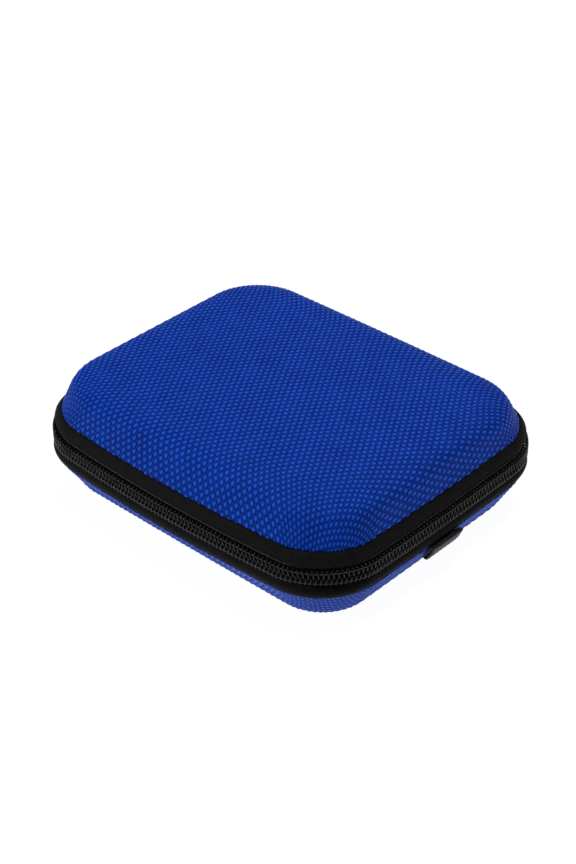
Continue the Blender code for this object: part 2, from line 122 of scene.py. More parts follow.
# Zip: tapes that puff beside the coil and flare at the corners, and a filament wound in a flat helix.
TAPE_THICKNESS = 0.75 * MM
TAPE_ALLOWANCE = 3.2 * MM
TAPE_STEP = 1.0 * MM
TAPE_PUFF = 0.7 * MM
CORNER_FLARE = 0.9 * MM
TOOTH_PITCH = 1.28 * MM
COIL_POINTS = 12
FILAMENT_RADIUS = 0.235 * MM
COIL_DEPTH, COIL_HALF_DEPTH = 0.98 * MM, 0.66 * MM
COIL_RISE, COIL_HALF_RISE = 0.95 * MM, 1.12 * MM

# Threads along each half of the zip: name, inset, rise and radius.
THREADS = (("coil", 0.50 * MM, 1.45 * MM, 0.13 * MM), ("edge", 1.70 * MM, 2.45 * MM, 0.15 * MM))
THREAD_STEP, THREAD_SWAY = 0.32 * MM, 0.07 * MM

# The slider's wedge parts the coils where the slider is parked.
SLIDER_Y = JOINTS["pull_swing"]["pos_m"][1]
WEDGE_OFFSET = 3.0 * MM
WEDGE_FLAT = 1.8 * MM
SPREAD_LENGTH = 7.0 * MM
COIL_SPREAD = 1.0 * MM

# Stitches on the bindings.
STITCH_LENGTH = 2.3 * MM
STITCH_GAP = 0.5 * MM
STITCH_POINTS = 7
STITCH_SINK = 0.18 * MM
STITCH_RADIUS = 0.13 * MM
STITCH_DEPTH = LINING_FACE + CLEARANCE + 0.62 * MM
STITCH_RISE = 0.9 * MM

# Fabric hinge at the back.
HINGE_THICKNESS = 0.7 * MM
HINGE_COLUMNS = 60

# Webbing loop: the thickness of one leg, the radius of the fold, and its ribs.
LOOP_LOW, LOOP_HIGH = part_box("webbing_loop")
LOOP_LEG = 0.72 * MM
LOOP_DROP = 5.2 * MM
LOOP_FOLD = 0.5 * MM
LOOP_COLUMNS = 41
LOOP_EDGE = 0.07
RIB_PITCH, RIB_HEIGHT = 0.75 * MM, 0.05 * MM
RIB_SLANT = 1.6 * MM

# Net pocket in the lid.
NET_LOW, NET_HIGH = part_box("pocket_net")
HEM_LOW, HEM_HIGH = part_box("pocket_elastic")
NET_INSET = 8.7 * MM
NET_CELL = 1.35 * MM
NET_COLUMNS = 24
NET_STRAND = 0.34 * MM
NET_SAG = 0.5 * MM
BORDER_RADIUS, BORDER_INSET = 0.32 * MM, NET_INSET + 0.2 * MM
HEM_STEP = 0.3 * MM
GATHER_PITCH, GATHER_DEPTH = 1.5 * MM, 0.16
HEM_WAVE_PITCH, HEM_WAVE = 4.1 * MM, 0.12 * MM
HEM_CORNERS = 16

# Pull tab.
TAB_CORNERS = 28
TAB_ROWS = 181
TAB_SQUARENESS = 0.45
RIDGE_PITCH, RIDGE_DEPTH = 1.9 * MM, 0.16
THINNEST = 0.12

# Camera, surroundings and soft boxes: name, direction, distance, size and power.
CAMERA_AZIMUTH = math.radians(42.43)
CAMERA_ELEVATION = math.radians(34.10)
CAMERA_DISTANCE = 0.50987
CAMERA_SIDEWAYS = -0.30 * MM
CAMERA_UPWARDS = 0.29 * MM
CAMERA_LENS = 78.53
WORLD_GLOW = 0.05
FLOOR_REACH = 4.0
FLOOR_GAP = 0.02 * MM
SOFT_BOXES = (
    ("softbox_top", (0.05, 0.20, 1.0), 2.4, (0.6, 0.6), 34.0),
    ("softbox_front", (-0.60, -0.80, 0.50), 2.4, (0.4, 0.4), 22.0),
    ("softbox_back", (-0.45, 0.60, 0.62), 2.4, (0.4, 0.4), 9.0),
)


# Outlines ------------

def outline(inset_x, inset_y, radius, bulge=1.0):
    """Rounded rectangle with bellied sides, counter-clockwise."""
    half_x, half_y = HALF_LENGTH - inset_x, HALF_WIDTH - inset_y
    radius = max(radius, SMALLEST_RADIUS)
    quarters = []
    for quarter, (sign_x, sign_y) in enumerate(((1, 1), (-1, 1), (-1, -1), (1, -1))):
        angles = (quarter + np.linspace(0, 1, CORNER_STEPS + 1)) * math.pi / 2
        x = sign_x * (half_x - radius) + radius * np.cos(angles)
        y = sign_y * (half_y - radius) + radius * np.sin(angles)
        quarters.append(np.stack([x, y], axis=1))
    share = np.linspace(0, 1, SIDE_STEPS + 1)[1:-1, None]
    pieces = []
    for quarter in range(4):
        start, end = quarters[quarter][-1], quarters[(quarter + 1) % 4][0]
        pieces += [quarters[quarter], start + (end - start) * share]
    points = np.concatenate(pieces)
    across, along = points[:, 0] / half_x, points[:, 1] / half_y
    points[:, 0] += np.sign(across) * bulge * END_BULGE * (1 - along ** 2) * np.abs(across) ** 3
    points[:, 1] += np.sign(along) * bulge * SIDE_BULGE * (1 - across ** 2) * np.abs(along) ** 3
    return points


def inset_ring(inset):
    """Outline parallel to the coil's outer face."""
    return outline(inset, inset, CORNER_RADIUS - inset)


def turned_right(along):
    """Unit directions a quarter turn to the right of plane directions."""
    along = along / np.linalg.norm(along, axis=1)[:, None]
    return np.stack([along[:, 1], -along[:, 0]], axis=1)


def outward_normals(ring):
    """Unit outward direction at each point of a closed outline."""
    return turned_right(np.roll(ring, -1, axis=0) - np.roll(ring, 1, axis=0))


def distances(points):
    """Distance along a line at each of its points."""
    steps = np.linalg.norm(np.diff(points, axis=0), axis=1)
    return np.concatenate([[0], np.cumsum(steps)])


def at_distances(wanted, lengths, values):
    """Pairs of values along a line, at the wanted distances."""
    return np.stack([np.interp(wanted, lengths, values[:, i]) for i in range(2)], axis=1)


def wall_ring(shell, depth, rise):
    """Outline of a shell's wall at a rise, a depth under its outer face."""
    share = max(0.0, (rise - shell.rim_rise) / (shell.wall_rise - shell.rim_rise))
    inset_x = shell.rim_inset + (shell.wall_inset_x - shell.rim_inset) * share + depth
    inset_y = shell.rim_inset + (shell.wall_inset_y - shell.rim_inset) * share + depth
    seam_radius = CORNER_RADIUS - shell.rim_inset
    radius = seam_radius + (shell.shoulder_radius - seam_radius) * share - depth
    return outline(inset_x, inset_y, radius, 1 - (1 - SHOULDER_BULGE) * share)


def shoulder_run(shell, wall_inset, share):
    """How far the shoulder has run inwards at a share of its quarter turn."""
    lean = (wall_inset - shell.rim_inset) / (shell.wall_rise - shell.rim_rise)
    first = lean * (shell.panel_rise - shell.wall_rise) * math.pi / 2 / shell.shoulder_run
    last = math.pi / 2
    eased = (first * share + (3 - 2 * first - last) * share ** 2
             + (first + last - 2) * share ** 3)
    return shell.shoulder_run * eased


def shoulder_ring(shell, depth, share):
    """Outline and rise on the shoulder, from the wall at share 0 to the panel at 1."""
    angle = share * math.pi / 2
    sunk = depth * math.cos(angle)
    tightening = SHOULDER_TIGHTENING * shell.shoulder_run * (1 - math.cos(angle))
    ring = outline(shell.wall_inset_x + shoulder_run(shell, shell.wall_inset_x, share) + sunk,
                   shell.wall_inset_y + shoulder_run(shell, shell.wall_inset_y, share) + sunk,
                   shell.shoulder_radius - tightening - sunk, SHOULDER_BULGE)
    rise = shell.wall_rise + (shell.panel_rise - shell.wall_rise) * math.sin(angle)
    return ring, rise - depth * math.sin(angle)


def shell_sections(shell, depth):
    """Rings and rises of one face of a shell, from its rim to its middle."""
    rises = np.linspace(shell.rim_rise, shell.wall_rise, WALL_ROWS)[:-1]
    sections = [(wall_ring(shell, depth, rise), rise) for rise in rises]
    sections += [shoulder_ring(shell, depth, share) for share in np.linspace(0, 1, SHOULDER_ROWS)]
    edge, edge_rise = sections[-1]
    for share in np.linspace(1, 0, PANEL_ROWS)[1:]:
        sections.append((edge * share, edge_rise + shell.crown * (1 - share ** 2)))
    return sections


def height(shell, rise):
    """World height of a rise in one half."""
    return ZIP_HEIGHT + shell.side * rise


def raised(shell, ring, rise):
    """Outline at a rise, as points in space."""
    return np.column_stack([ring, np.full(len(ring), height(shell, rise))])


# Mesh helpers ------------

def mesh_from(name, points, faces):
    """Mesh from points and faces."""
    mesh = bpy.data.meshes.new(name)
    mesh.from_pydata(np.asarray(points).tolist(), [], [tuple(face) for face in faces])
    mesh.update()
    return mesh


def middle_and_half(low, high):
    """Middle and half the size between two bounds."""
    return (low + high) / 2, (high - low) / 2


def linked(name, data):
    """New object in the scene."""
    item = bpy.data.objects.new(name, data)
    bpy.context.scene.collection.objects.link(item)
    return item


def new_object(name, mesh, material, sharp=None):
    """Smooth mesh as an object with one material."""
    item = linked(name, mesh)
    mesh.materials.clear()
    mesh.materials.append(material)
    mesh.shade_smooth()
    if sharp is not None:
        mesh.set_sharp_from_angle(angle=math.radians(sharp))
    return item


def fix_normals(mesh):
    """Turn the faces of a closed mesh outwards."""
    bm = bmesh.new()
    bm.from_mesh(mesh)
    bmesh.ops.recalc_face_normals(bm, faces=bm.faces)
    bm.to_mesh(mesh)
    bm.free()


def grid_quads(rows, columns, closed=False):
    """Quads between rows of points, where each row runs round to its start."""
    a, b = np.meshgrid(np.arange(rows if closed else rows - 1), np.arange(columns), indexing="ij")
    next_a, next_b = (a + 1) % rows, (b + 1) % columns
    corners = [a * columns + b, a * columns + next_b,
               next_a * columns + next_b, next_a * columns + b]
    return np.stack(corners, axis=-1).reshape(-1, 4)


def set_uv(mesh, name, coordinates):
    """UV map from one coordinate per vertex."""
    layer = mesh.uv_layers.new(name=name)
    index = np.empty(len(mesh.loops), dtype=np.int32)
    mesh.loops.foreach_get("vertex_index", index)
    layer.data.foreach_set("uv", np.asarray(coordinates, dtype=np.float32)[index].ravel())


def vertex_normals(mesh):
    """Vertex normals as an array."""
    found = np.empty(len(mesh.vertices) * 3, dtype=np.float32)
    mesh.vertex_normals.foreach_get("vector", found)
    return found.reshape(-1, 3)


def signed_power(values, power):
    """Power of the size of each value, with its own sign."""
    return np.sign(values) * np.abs(values) ** power


def rounded_section(corners, power_a, power_b):
    """Two coordinates, from -1 to 1, of the points round a squared-off oval."""
    angles = np.arange(corners) * 2 * math.pi / corners
    return signed_power(np.cos(angles), power_a), signed_power(np.sin(angles), power_b)


def swept(name, rows, material, closed=False, sharp=50):
    """Solid through closed sections, with a UV map in metres along and round it."""
    rows = np.asarray(rows, dtype=float)
    count, corners = rows.shape[:2]
    faces = [tuple(face) for face in grid_quads(count, corners, closed)]
    if not closed:
        faces += [tuple(range(corners)), tuple(range((count - 1) * corners, count * corners))]
    mesh = mesh_from(name, rows.reshape(-1, 3), faces)
    fix_normals(mesh)
    along, around = distances(rows.mean(axis=1)), distances(rows[0])
    uv = np.stack(np.broadcast_arrays(along[:, None], around[None, :]), axis=-1)
    set_uv(mesh, "strip", uv.reshape(-1, 2))
    return new_object(name, mesh, material, sharp)


def tube(name, centres, radius, material, sides=6):
    """Round tube through a line of points, capped at both ends."""
    centres = np.asarray(centres, dtype=float)
    tangents = np.gradient(centres, axis=0)
    tangents /= np.linalg.norm(tangents, axis=1)[:, None]
    side = np.empty_like(tangents)
    reference = (0.0, 0.0, 1.0) if abs(tangents[0][2]) < 0.9 else (1.0, 0.0, 0.0)
    side[0] = np.cross(tangents[0], reference)
    side[0] /= np.linalg.norm(side[0])
    for i in range(1, len(side)):
        carried = side[i - 1] - tangents[i] * np.dot(side[i - 1], tangents[i])
        side[i] = carried / np.linalg.norm(carried)
    up = np.cross(side, tangents)
    angles = np.arange(sides) * 2 * math.pi / sides
    out = np.cos(angles)[:, None] * side[:, None] + np.sin(angles)[:, None] * up[:, None]
    rows = centres[:, None] + radius * out
    return swept(name, rows, material, sharp=None)


# Materials ------------

class Nodes:
    """Short calls for building one material's nodes."""

    def __init__(self, name):
        self.material = bpy.data.materials.new(name)
        self.material.use_nodes = True
        self.tree = self.material.node_tree
        self.shader = self.tree.nodes["Principled BSDF"]

    def add(self, kind, **settings):
        """Add a node, with its properties set by name."""
        node = self.tree.nodes.new(kind)
        for key, value in settings.items():
            setattr(node, key, value)
        return node

    def link(self, source, target):
        """Join an output to an input, or set the input to a number."""
        if isinstance(source, (int, float)):
            target.default_value = source
        else:
            self.tree.links.new(source, target)

    def math(self, operation, first, second=0.0, third=0.0):
        """Math node."""
        node = self.add("ShaderNodeMath", operation=operation)
        for source, target in zip((first, second, third), node.inputs):
            self.link(source, target)
        return node.outputs[0]

    def times(self, first, second):
        """Product of two values."""
        return self.math('MULTIPLY', first, second)

    def scaled(self, value, factor, plus):
        """Value times a factor, plus a third value."""
        return self.math('MULTIPLY_ADD', value, factor, plus)

    def less(self, first, second):
        """First value less the second."""
        return self.math('SUBTRACT', first, second)

    def uv(self, name):
        """The two coordinates of a UV map."""
        source = self.add("ShaderNodeUVMap", uv_map=name)
        parts = self.add("ShaderNodeSeparateXYZ")
        self.link(source.outputs[0], parts.inputs[0])
        return parts.outputs[0], parts.outputs[1]

    def texture(self, kind, output, **inputs):
        """Output of a texture in object coordinates."""
        where, node = self.add("ShaderNodeTexCoord"), self.add(kind)
        self.link(where.outputs["Object"], node.inputs["Vector"])
        for key, value in inputs.items():
            node.inputs[key].default_value = value
        return node.outputs[output]

    def noise(self, scale, detail=2.0, rough=0.5):
        """Noise, where scale is in repeats per metre."""
        return self.texture("ShaderNodeTexNoise", "Fac", Scale=scale, Detail=detail, Roughness=rough)

    def cells(self, size):
        """Distance to the middle of the nearest cell of a given size in metres."""
        return self.texture("ShaderNodeTexVoronoi", "Distance", Scale=1 / size)

    def sine(self, coordinate, repeats=1.0):
        """Half-raised sine of a coordinate, from 0 to 1."""
        angle = self.times(coordinate, 2 * math.pi * repeats)
        return self.scaled(self.math('SINE', angle), 0.5, 0.5)

    def mix(self, first, second, share):
        """Number part of the way from the first to the second."""
        return self.scaled(self.less(second, first), share, first)

    def yarn_round(self, offset):
        """Height of a round yarn at an offset from its middle, in yarns."""
        ratio = self.math('DIVIDE', offset, YARN_HALF)
        fall = self.less(1.0, self.times(ratio, ratio))
        return self.math('SQRT', self.math('MAXIMUM', 0.0, fall))

    def weave(self, across, along):
        """Plain weave: its height from 0 to 1, and filament lines along each yarn."""
        column, row = self.math('FLOOR', across), self.math('FLOOR', along)
        side, end = (self.less(self.math('FRACT', way), 0.5) for way in (across, along))
        odd = self.math('FRACT', self.times(self.math('ADD', column, row), 0.5))
        over = self.scaled(odd, -4.0, 1.0)
        warp_path, weft_path = (self.times(over, self.math('COSINE', self.times(offset, math.pi)))
                                for offset in (end, side))
        warp = self.scaled(warp_path, WARP_SWING, self.times(self.yarn_round(side), WARP_ROUND))
        weft = self.scaled(weft_path, -WEFT_SWING, self.times(self.yarn_round(end), WEFT_ROUND))
        top = self.math('MAXIMUM', self.math('MAXIMUM', warp, weft), RELIEF_LOW)
        relief = self.math('DIVIDE', self.less(top, RELIEF_LOW), RELIEF_HIGH - RELIEF_LOW)
        is_warp = self.math('GREATER_THAN', warp, weft)
        warp_lines = self.sine(self.scaled(end, 0.25, side), 8.0)
        weft_lines = self.sine(self.scaled(side, 0.25, end), 9.0)
        return relief, self.mix(weft_lines, warp_lines, is_warp)

    def colour(self, factor, *stops):
        """Drive the base colour with a ramp, from stops of (position, colour)."""
        node = self.add("ShaderNodeValToRGB")
        elements = node.color_ramp.elements
        while len(elements) < len(stops):
            elements.new(0.5)
        for element, (position, colour) in zip(elements, stops):
            element.position = position
            element.color = (*colour, 1.0)
        self.link(factor, node.inputs["Fac"])
        self.link(node.outputs["Color"], self.shader.inputs["Base Color"])

    def roughness(self, value, factor, plus):
        """Drive the roughness with a value times a factor, plus a third."""
        self.link(self.scaled(value, factor, plus), self.shader.inputs["Roughness"])

    def bump(self, heights, distance, strength):
        """Bump from heights between 0 and 1, where distance is the relief in metres."""
        node = self.add("ShaderNodeBump")
        node.inputs["Distance"].default_value = distance
        node.inputs["Strength"].default_value = strength
        self.link(heights, node.inputs["Height"])
        self.link(node.outputs[0], self.shader.inputs["Normal"])

    def set(self, **values):
        """Set plain numbers or colours on the shader's own sockets."""
        for key, value in values.items():
            self.shader.inputs[key.replace("_", " ")].default_value = value


def nylon_material():
    """Blue ballistic nylon: random tone, filament lines, a painted highlight on the floats and painted
    shade in the gaps.
    """
    nodes = Nodes("blue_ballistic_nylon")
    relief, lines = nodes.weave(*nodes.uv("fabric"))
    # Base colour follows the weave's relief: painted shade in the gaps between yarns, painted
    # highlight on the tops of the floats.
    tone_and_painted_light = nodes.scaled(nodes.less(nodes.noise(160.0, 3.0), 0.5), 0.18, relief)
    tone_and_painted_light = nodes.scaled(nodes.less(lines, 0.5), 0.10, tone_and_painted_light)
    nodes.colour(tone_and_painted_light, (0.12, (0.0001, 0.002, 0.045)), (0.45, (0.0006, 0.017, 0.195)),
                 (0.72, (0.003, 0.050, 0.445)), (1.0, (0.012, 0.105, 0.700)))
    nodes.roughness(nodes.less(1.0, relief), 0.6, nodes.scaled(lines, 0.14, 0.27))
    nodes.set(Specular_IOR_Level=0.14, Specular_Tint=(0.30, 0.50, 1.0, 1.0))
    nodes.bump(nodes.scaled(lines, 0.06, relief), 0.30 * MM, 0.85)
    return nodes.material


def woven_material(name, dark, light, pitch, relief):
    """Fine plain weave, in a UV map in metres along and across a strip."""
    nodes = Nodes(name)
    first, second = (nodes.sine(way, 1 / pitch) for way in nodes.uv("strip"))
    weave = nodes.scaled(nodes.times(first, second), 0.7,
                         nodes.times(nodes.math('MAXIMUM', first, second), 0.3))
    wear = nodes.noise(900.0, 4.0, 0.6)
    nodes.colour(nodes.mix(weave, wear, 0.7), (0.32, dark), (0.62, light))
    nodes.roughness(wear, 0.2, 0.7)
    nodes.set(Sheen_Weight=0.01, Sheen_Roughness=0.5, Specular_IOR_Level=0.08)
    nodes.bump(nodes.mix(weave, wear, 0.5), 2 * relief, 0.9)
    return nodes.material


def ribbed_material(name, dark, light, pitch, relief):
    """Tape or elastic with ribs across its width, in the same UV map."""
    nodes = Nodes(name)
    along, across = nodes.uv("strip")
    weave = nodes.mix(nodes.sine(along, 1 / pitch), nodes.sine(across, 3 / pitch), 0.25)
    wear = nodes.noise(500.0, 3.0, 0.6)
    nodes.colour(nodes.mix(weave, wear, 0.4), (0.15, dark), (0.85, light))
    nodes.roughness(wear, 0.2, 0.5)
    nodes.set(Sheen_Weight=0.08, Sheen_Roughness=0.4, Specular_IOR_Level=0.35)
    nodes.bump(weave, relief, 0.9)
    return nodes.material


def thread_material():
    """Black twisted sewing thread, from a UV map in metres along it."""
    nodes = Nodes("black_thread")
    along, around = nodes.uv("strip")
    twist = nodes.sine(nodes.math('ADD', nodes.math('DIVIDE', along, 0.5 * MM), around))
    nodes.colour(twist, (0.1, (0.004, 0.004, 0.0045)), (0.9, (0.03, 0.03, 0.032)))
    nodes.roughness(twist, -0.1, 0.5)
    nodes.set(Sheen_Weight=0.1, Sheen_Roughness=0.4, Specular_IOR_Level=0.5)
    nodes.bump(twist, 0.03 * MM, 0.8)
    return nodes.material


def knit_material():
    """Black brushed-knit lining with a soft nap."""
    nodes = Nodes("black_knit_lining")
    loops = nodes.less(1.0, nodes.cells(0.9 * MM))
    nap = nodes.noise(2500.0, 4.0, 0.7)
    pile = nodes.mix(loops, nap, 0.4)
    nodes.colour(nodes.mix(pile, nodes.noise(60.0, 3.0), 0.5),
                 (0.2, (0.010, 0.010, 0.011)), (0.85, (0.042, 0.042, 0.046)))
    nodes.roughness(nap, 0.1, 0.85)
    nodes.set(Sheen_Weight=0.35, Sheen_Roughness=0.5, Specular_IOR_Level=0.2)
    nodes.bump(pile, 0.12 * MM, 0.7)
    return nodes.material


def painted_metal_material():
    """Black painted zinc: satin, and scuffed grey on its edges."""
    nodes = Nodes("black_painted_zinc")
    scuffs = nodes.noise(700.0, 5.0, 0.65)
    edges = nodes.add("ShaderNodeNewGeometry").outputs["Pointiness"]
    worn = nodes.times(nodes.times(nodes.less(edges, 0.52), 9.0), scuffs)
    nodes.colour(worn, (0.15, (0.018, 0.018, 0.020)), (0.75, (0.22, 0.22, 0.23)))
    nodes.roughness(scuffs, 0.25, 0.28)
    nodes.set(Metallic=0.6, Specular_IOR_Level=0.5)
    nodes.bump(nodes.noise(4000.0, 2.0), 0.01 * MM, 0.5)
    return nodes.material


def speckled(name, grain, dark, light, rough):
    """Nodes of a material that follows one noise, and that noise."""
    nodes = Nodes(name)
    noise = nodes.noise(*grain)
    nodes.colour(noise, (0.3, dark), (0.8, light))
    nodes.roughness(noise, *rough)
    return nodes, noise


def coil_material():
    """Black nylon monofilament: glossy on its crowns, with small scuffs."""
    nodes, scuffs = speckled("black_nylon_coil", (900.0, 4.0, 0.7),
                             (0.0025, 0.0025, 0.003), (0.007, 0.007, 0.008), (0.22, 0.20))
    nodes.set(Specular_IOR_Level=0.25)
    nodes.bump(scuffs, 0.02 * MM, 0.5)
    return nodes.material


def foam_material():
    """Moulded EVA foam with fine closed cells."""
    nodes, _ = speckled("grey_eva_foam", (120.0, 3.0),
                        (0.020, 0.020, 0.022), (0.045, 0.045, 0.048), (0.1, 0.82))
    nodes.bump(nodes.cells(0.45 * MM), 0.05 * MM, 0.6)
    return nodes.material


def plastic_material():
    """Moulded soft plastic with a fine grain."""
    nodes, _ = speckled("black_soft_plastic", (220.0, 3.0),
                        (0.013, 0.013, 0.014), (0.026, 0.026, 0.028), (0.2, 0.45))
    nodes.bump(nodes.noise(3500.0, 3.0, 0.6), 0.03 * MM, 0.6)
    return nodes.material


def net_material():
    """Black polyester net yarn."""
    nodes, fibres = speckled("black_net_yarn", (3000.0, 3.0, 0.7),
                             (0.008, 0.008, 0.009), (0.035, 0.035, 0.037), (0.2, 0.55))
    nodes.set(Sheen_Weight=0.15, Sheen_Roughness=0.4, Specular_IOR_Level=0.4)
    nodes.bump(fibres, 0.05 * MM, 0.7)
    return nodes.material


def floor_material():
    """Pale studio table, lit from inside like a light table."""
    nodes = Nodes("pale_floor")
    nodes.set(Base_Color=(0.10, 0.10, 0.10, 1.0), Roughness=0.8, Specular_IOR_Level=0.0,
              Emission_Color=(1.0, 1.0, 1.0, 1.0), Emission_Strength=0.97)
    return nodes.material


# Woven covers ------------

def weave_relief(across, along):
    """Height in metres of a plain weave, from coordinates counted in yarns."""
    column, row = np.floor(across), np.floor(along)
    side, end = across - column - 0.5, along - row - 0.5
    over = np.where((column + row) % 2 == 0, 1.0, -1.0)
    warp_round = np.sqrt(np.maximum(0.0, 1 - (side / YARN_HALF) ** 2))
    weft_round = np.sqrt(np.maximum(0.0, 1 - (end / YARN_HALF) ** 2))
    warp = over * WARP_SWING * np.cos(math.pi * end) + WARP_ROUND * warp_round
    weft = -over * WEFT_SWING * np.cos(math.pi * side) + WEFT_ROUND * weft_round
    return np.maximum(np.maximum(warp, weft), RELIEF_LOW) * MM


def eased_rows(rows, passes):
    """Rows down a shoulder and wall, evenly spaced, with the crease rounded over."""
    steps = np.linalg.norm(np.diff(rows, axis=0), axis=2).mean(axis=1)
    at = np.concatenate([[0], np.cumsum(steps)])
    even = np.linspace(0, at[-1], int(at[-1] / ROW_STEP) + 1)
    above = np.clip(np.searchsorted(at, even, side="right") - 1, 0, len(at) - 2)
    share = ((even - at[above]) / (at[above + 1] - at[above]))[:, None, None]
    rows = rows[above] * (1 - share) + rows[above + 1] * share
    for _ in range(passes):
        rows[1:-1] = (rows[:-2] + 2 * rows[1:-1] + rows[2:]) / 4
    return rows


def unfolded_shell(shell):
    """Rows of points on a shell from its middle to its rim, and the same points laid flat."""
    surface = np.array([raised(shell, ring, rise) for ring, rise in shell_sections(shell, 0.0)[::-1]])
    panel = surface[:PANEL_ROWS - 1]
    lip = raised(shell, wall_ring(shell, LIP_DEPTH, shell.rim_rise), shell.rim_rise - LIP_RISE)
    passes = LID_PASSES if shell is LID else BASE_PASSES
    side = np.concatenate([eased_rows(surface[PANEL_ROWS - 1:], passes), lip[None]])
    run = np.cumsum(np.linalg.norm(np.diff(side, axis=0), axis=2), axis=0)
    run = np.concatenate([np.zeros((1, run.shape[1])), run])
    edge = side[0, :, :2]
    flat = edge + outward_normals(edge) * run[:, :, None]
    return np.concatenate([panel, side]), np.concatenate([panel[:, :, :2], flat])


def laid_on(shell, points):
    """Places on a shell of points of its blank, which lie in the blank, and its reach."""
    surface, flat = unfolded_shell(shell)
    rows, columns = flat.shape[:2]
    quads = grid_quads(rows, columns)
    corners = np.concatenate([quads[:, [0, 1, 2]], quads[:, [0, 2, 3]]])
    flat, surface = flat.reshape(-1, 2), surface.reshape(-1, 3)
    blank = np.column_stack([flat, np.zeros(len(flat))])
    tree = BVHTree.FromPolygons(blank.tolist(), corners.tolist(), all_triangles=True)
    found = [tree.find_nearest((x, y, 0.0)) for x, y in points.tolist()]
    nearest = np.array([hit[0][:2] for hit in found])
    triangle = corners[[hit[2] for hit in found]]
    a, b, c = (flat[triangle[:, i]] for i in range(3))
    first, second, offset = b - a, c - a, nearest - a
    area = first[:, 0] * second[:, 1] - first[:, 1] * second[:, 0]
    area = np.where(np.abs(area) < 1e-16, 1e-16, area)
    share_b = (offset[:, 0] * second[:, 1] - offset[:, 1] * second[:, 0]) / area
    share_c = (first[:, 0] * offset[:, 1] - first[:, 1] * offset[:, 0]) / area
    share_b, share_c = np.clip(share_b, 0, 1)[:, None], np.clip(share_c, 0, 1)[:, None]
    places = surface[triangle[:, 0]] * (1 - share_b - share_c)
    places = places + surface[triangle[:, 1]] * share_b + surface[triangle[:, 2]] * share_c
    inside = np.array([hit[3] for hit in found]) < WELDED
    return places, inside, flat.max(axis=0)


def woven_cover(name, shell, material):
    """Nylon over one shell: a flat weave laid on it, with every yarn in relief."""
    step_u, step_v = WARP_PITCH / STEPS_PER_YARN, WEFT_PITCH / STEPS_PER_YARN
    reach_u, reach_v = HALF_LENGTH + BLANK_MARGIN_X, HALF_WIDTH + BLANK_MARGIN_Y
    count_u, count_v = int(reach_u / step_u), int(reach_v / step_v)
    u, v = np.meshgrid((np.arange(-count_u, count_u + 1) + 0.5) * step_u,
                       (np.arange(-count_v, count_v + 1) + 0.5) * step_v, indexing="ij")
    blank = np.stack([u + v * WARP_SKEW, v - u * WEFT_SKEW], axis=-1).reshape(-1, 2)
    places, inside, extent = laid_on(shell, blank)
    inside = inside.reshape(u.shape)
    cell = inside[:-1, :-1] | inside[1:, :-1] | inside[:-1, 1:] | inside[1:, 1:]
    used = np.zeros_like(inside)
    for offset_a, offset_b in ((0, 0), (1, 0), (1, 1), (0, 1)):
        used[offset_a:offset_a + cell.shape[0], offset_b:offset_b + cell.shape[1]] |= cell
    number = np.cumsum(used.ravel()).reshape(used.shape) - 1
    a, b = np.nonzero(cell)
    faces = np.stack([number[a, b], number[a + 1, b], number[a + 1, b + 1], number[a, b + 1]], axis=1)
    if shell.side < 0:
        faces = faces[:, ::-1]
    points = places.reshape(*u.shape, 3)[used]
    mesh = mesh_from(name, points, faces)
    across, along = u[used] / WARP_PITCH, v[used] / WEFT_PITCH
    relief = weave_relief(across, along) - RELIEF_LEVEL * MM
    points = points + vertex_normals(mesh) * relief[:, None]
    points[:, 2] = np.maximum(points[:, 2], 0.0)
    mesh.vertices.foreach_set("co", points.astype(np.float32).ravel())
    mesh.update()
    set_uv(mesh, "fabric", np.stack([across, along], axis=1))
    share_u, share_v = u[used] / (2 * reach_u) + 0.5, v[used] / (2 * reach_v) + 0.5
    set_uv(mesh, "OFBake", np.stack([share_u, share_v], axis=1))
    cover = new_object(name, mesh, material)
    return cover


# Seam, zip and linings ------------

def path_round(step):
    """Points along the zip from end to end, outward directions, a weight that peaks in the corners,
    and distances along it."""
    ring = inset_ring(0.0)
    middle = CORNER_STEPS + 1 + (SIDE_STEPS - 1) // 2
    ring = np.vstack([ring[middle:], ring[:middle + 1]])
    lengths = distances(ring)
    low, high = ZIP_END_X, lengths[-1] - ZIP_END_X
    at = np.linspace(low, high, int(round((high - low) / step)) + 1)
    outward = turned_right(at_distances(at + MM, lengths, ring) - at_distances(at - MM, lengths, ring))
    corner = (2 * outward[:, 0] * outward[:, 1]) ** 2
    return at_distances(at, lengths, ring), outward, corner, at


def tape_profile(shell):
    """Section of a zip tape as (inset, rise, share of the corner flare)."""
    top, crease = shell.rim_rise, shell.rim_inset
    edge, low = 1.8 * MM, 2.3 * MM
    profile = [(1.95 * MM, 1.1 * MM, 0.0), (1.9 * MM, 1.9 * MM, 0.1)]
    for share in np.linspace(0, 1, 9):
        hump = math.sin(math.pi * share)
        inset = edge + (crease - edge) * share - TAPE_PUFF * hump
        rise = low + (top - 0.25 * MM - low) * share
        profile.append((inset, rise, 0.25 + 0.75 * math.sin(share * 2.2)))
    back = crease + TAPE_ALLOWANCE
    profile += [(crease + 1.2 * MM, top - 0.2 * MM, 0.3), (back, top - 0.25 * MM, 0.0),
                (back, top - 0.2 * MM - TAPE_THICKNESS, 0.0), (crease + 1.0 * MM, top - 1.0 * MM, 0.3),
                (2.75 * MM, top - 2.0 * MM, 0.3), (2.75 * MM, 1.1 * MM, 0.0)]
    return profile


def zip_tape(name, shell, material):
    """Zip tape: flat behind the coil, puffed beside it, and tucked in under the rim."""
    xy, outward, corner, _ = path_round(TAPE_STEP)
    columns = []
    for inset, rise, flare in tape_profile(shell):
        reach = corner * flare * CORNER_FLARE - inset
        columns.append(raised(shell, xy + outward * reach[:, None], rise))
    return swept(name, np.stack(columns, axis=1), material)


